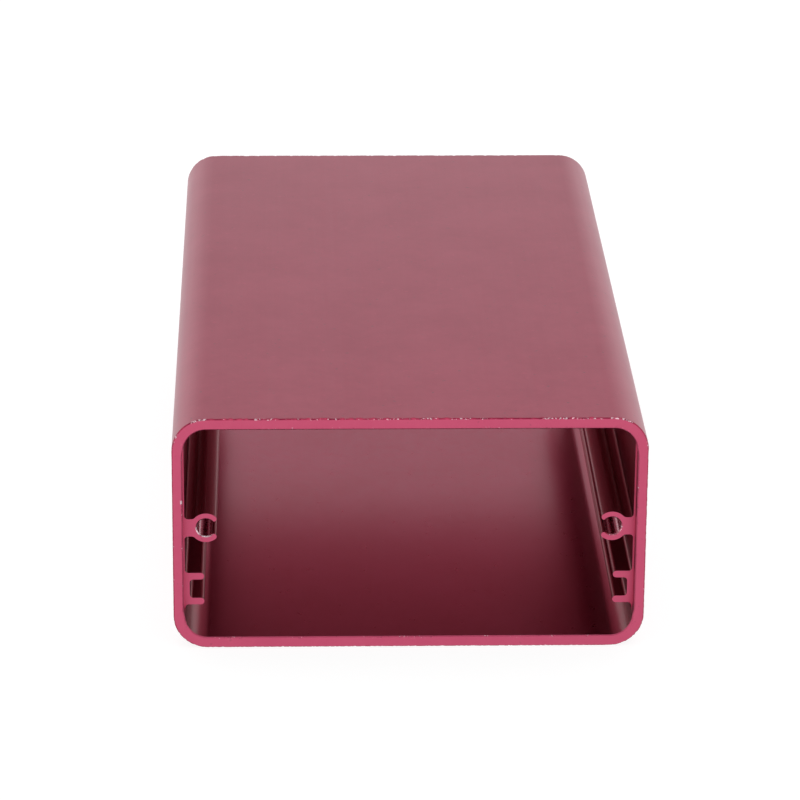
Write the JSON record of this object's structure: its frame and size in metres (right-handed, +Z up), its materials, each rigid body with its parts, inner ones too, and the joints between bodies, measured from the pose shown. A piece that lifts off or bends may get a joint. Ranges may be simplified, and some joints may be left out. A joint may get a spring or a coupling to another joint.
{
  "type": "extruded enclosure body",
  "caption": "Extruded aluminium enclosure body: an open rounded rectangular tube with a screw port and a circuit board guide along each side wall, recessed at the ends.",
  "frame": {"origin": "middle of the flat underside, at the foot of the bounding box", "axes": "+Z up through the height, Y along the extrusion, X across the width; the card guides lie below the screw ports"},
  "size_m": [0.066, 0.12, 0.0344],
  "materials": {
    "anodised_aluminium": "satin, raspberry red anodised"
  },
  "bodies": {
    "root": {"enclosure_body": "anodised_aluminium"}
  },
  "joints": []
}
